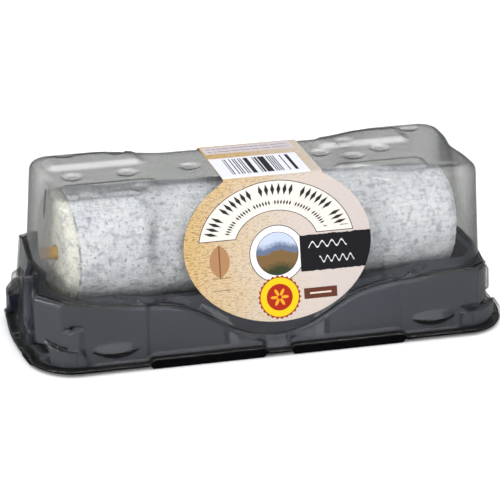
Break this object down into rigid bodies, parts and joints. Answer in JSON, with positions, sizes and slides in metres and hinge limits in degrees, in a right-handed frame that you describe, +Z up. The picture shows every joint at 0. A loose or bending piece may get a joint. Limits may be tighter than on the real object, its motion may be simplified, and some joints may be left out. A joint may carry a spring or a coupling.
{
  "type": "packed goat cheese log",
  "caption": "Shut clear thermoformed lid over a dark tray holding an ash-bloomed tapered goat cheese log on its straw, with a paper label over the leaning front panel and top.",
  "frame": {"origin": "on the plane the feet stand on, under the middle of the pack", "axes": "+X along the log from its thick, straw end to its thin end, -Y towards the front panel with the label, +Z up"},
  "size_m": [0.209, 0.089, 0.0716],
  "materials": {
    "tray_plastic": "semi-gloss",
    "clear_plastic": "clear gloss",
    "rind": "matt",
    "straw": "matt",
    "printed_paper": "satin"
  },
  "bodies": {
    "root": {"tray": "tray_plastic", "lid": "clear_plastic", "cheese": "rind", "straw": "straw", "label": "printed_paper"}
  },
  "joints": []
}
